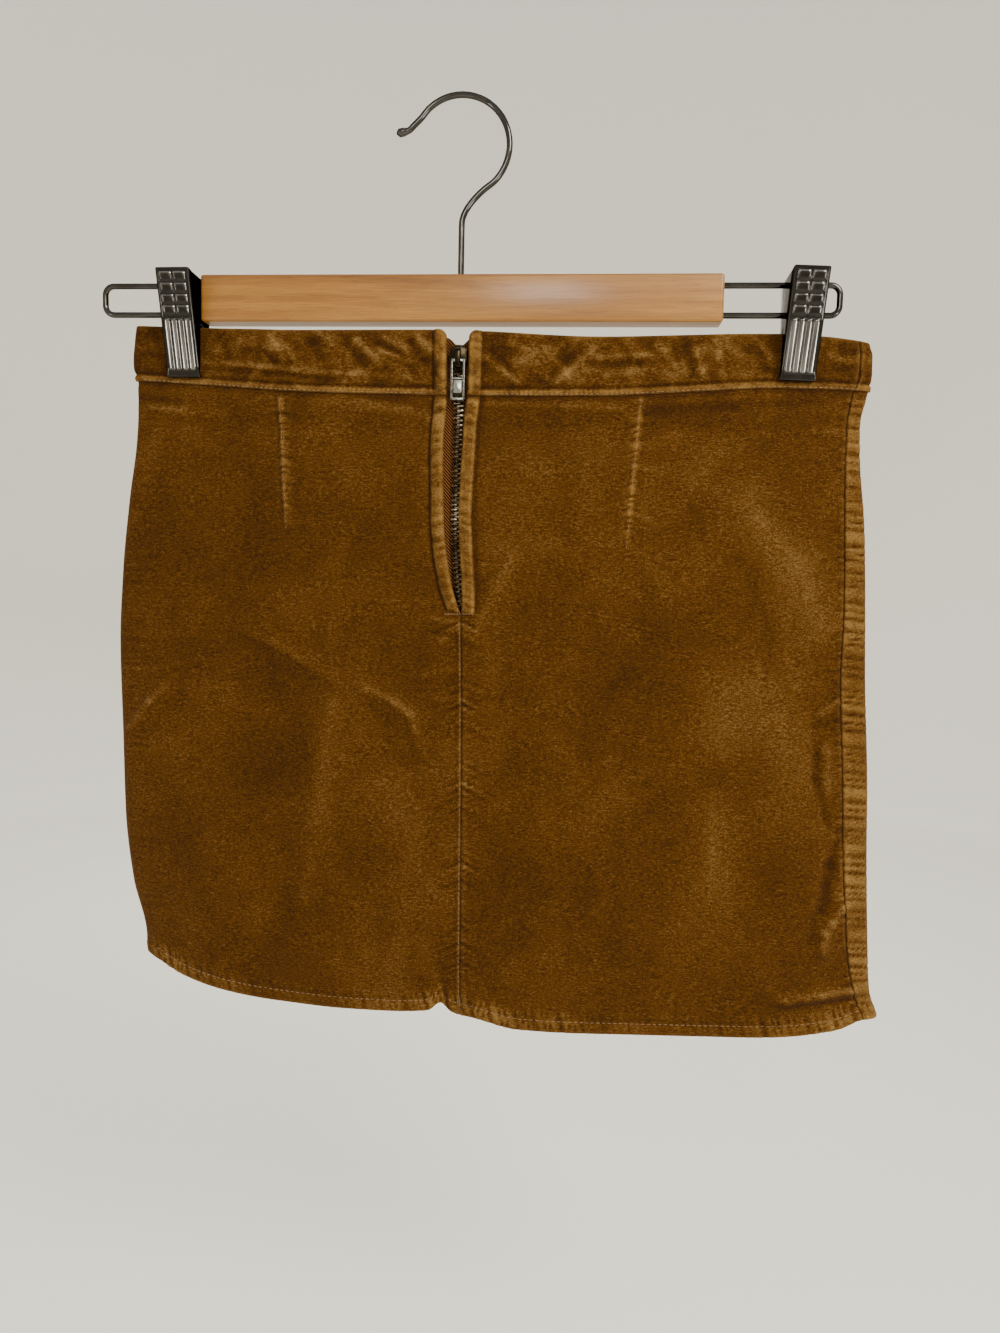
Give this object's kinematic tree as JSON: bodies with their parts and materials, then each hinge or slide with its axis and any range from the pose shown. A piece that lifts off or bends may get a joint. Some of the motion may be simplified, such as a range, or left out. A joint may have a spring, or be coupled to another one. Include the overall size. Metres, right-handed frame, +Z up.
{
  "type": "corduroy mini skirt on a clip hanger",
  "caption": "Short ochre cord skirt hung flat from a wooden clip hanger, back side out: sewn waistband, exposed metal zip, darts and a turned hem, open at waist and hem.",
  "frame": {"origin": "inside of the hook's crown, where a rail or a wall hook carries the hanger", "axes": "+Z up, +X to the right as the skirt's back with its zip is seen, and -Y towards the one who sees it"},
  "size_m": [0.4123, 0.0388, 0.4754],
  "materials": {
    "cloth": "short brushed nap",
    "tape": "woven",
    "zip_metal": "antiqued",
    "wire": "polished dark nickel",
    "clip": "dark nickel plate",
    "wood": "clear varnish"
  },
  "bodies": {
    "garment": {"back_panel_left": "cloth", "back_panel_right": "cloth", "front_panel": "cloth", "waistband_back_left": "cloth", "waistband_back_right": "cloth", "waistband_front": "cloth", "zip_tape_left": "tape", "zip_tape_right": "tape", "zip_chain": "zip_metal", "zip_slider": "zip_metal", "hanger_hook": "wire", "hanger_bar": "wood", "hanger_rail_left": "wire", "hanger_rail_right": "wire", "clip_left_front": "clip", "clip_left_back": "clip", "clip_left_spring": "wire", "clip_right_front": "clip", "clip_right_back": "clip", "clip_right_spring": "wire"},
    "pull": {"zip_pull": "zip_metal"}
  },
  "joints": [
    {"name": "zip_pull_hinge", "type": "hinge", "parent": "garment", "child": "pull", "pos_m": [0.00131, -0.0077, -0.1294], "axis": [-1, 0, 0], "range_deg": [0, 160]}
  ]
}
